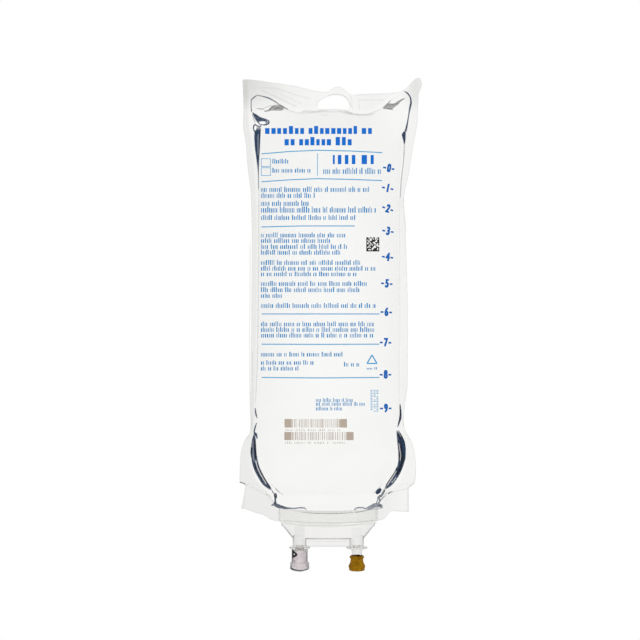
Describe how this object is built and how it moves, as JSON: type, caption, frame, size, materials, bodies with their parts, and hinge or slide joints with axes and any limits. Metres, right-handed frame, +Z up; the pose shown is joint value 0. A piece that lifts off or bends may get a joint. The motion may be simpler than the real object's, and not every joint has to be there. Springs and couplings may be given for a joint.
{
  "type": "iv fluid bag",
  "caption": "Clear one-litre infusion bag of two welded films with a hanger slot, full of clear solution, with a capped set port and a stoppered medication port.",
  "frame": {"origin": "middle of the hanger slot, half way between the two films", "axes": "+Z up along the hanging bag, +X to the right of its printed face, which looks to -Y"},
  "size_m": [0.1422, 0.0524, 0.3857],
  "materials": {
    "film": "clear, slightly milky polyolefin film, glossy, softly creased at the welds",
    "solution": "clear colourless water-like solution",
    "moulding": "translucent moulded plastic, smooth",
    "diaphragm": "thin translucent moulded plastic",
    "protector": "clear moulded cap, smooth",
    "stopper": "amber-brown rubber, satin"
  },
  "bodies": {
    "bag": {"front_film": "film", "rear_film": "film", "saline": "solution", "port_housing": "moulding", "set_port_diaphragm": "diaphragm", "medication_port_diaphragm": "diaphragm", "medication_port_stopper": "stopper"},
    "protector": {"set_port_protector": "protector"}
  },
  "joints": [
    {"name": "protector_pull", "type": "slide", "parent": "bag", "child": "protector", "axis": [0, 0, -1], "range_m": [0, 0.017]}
  ]
}
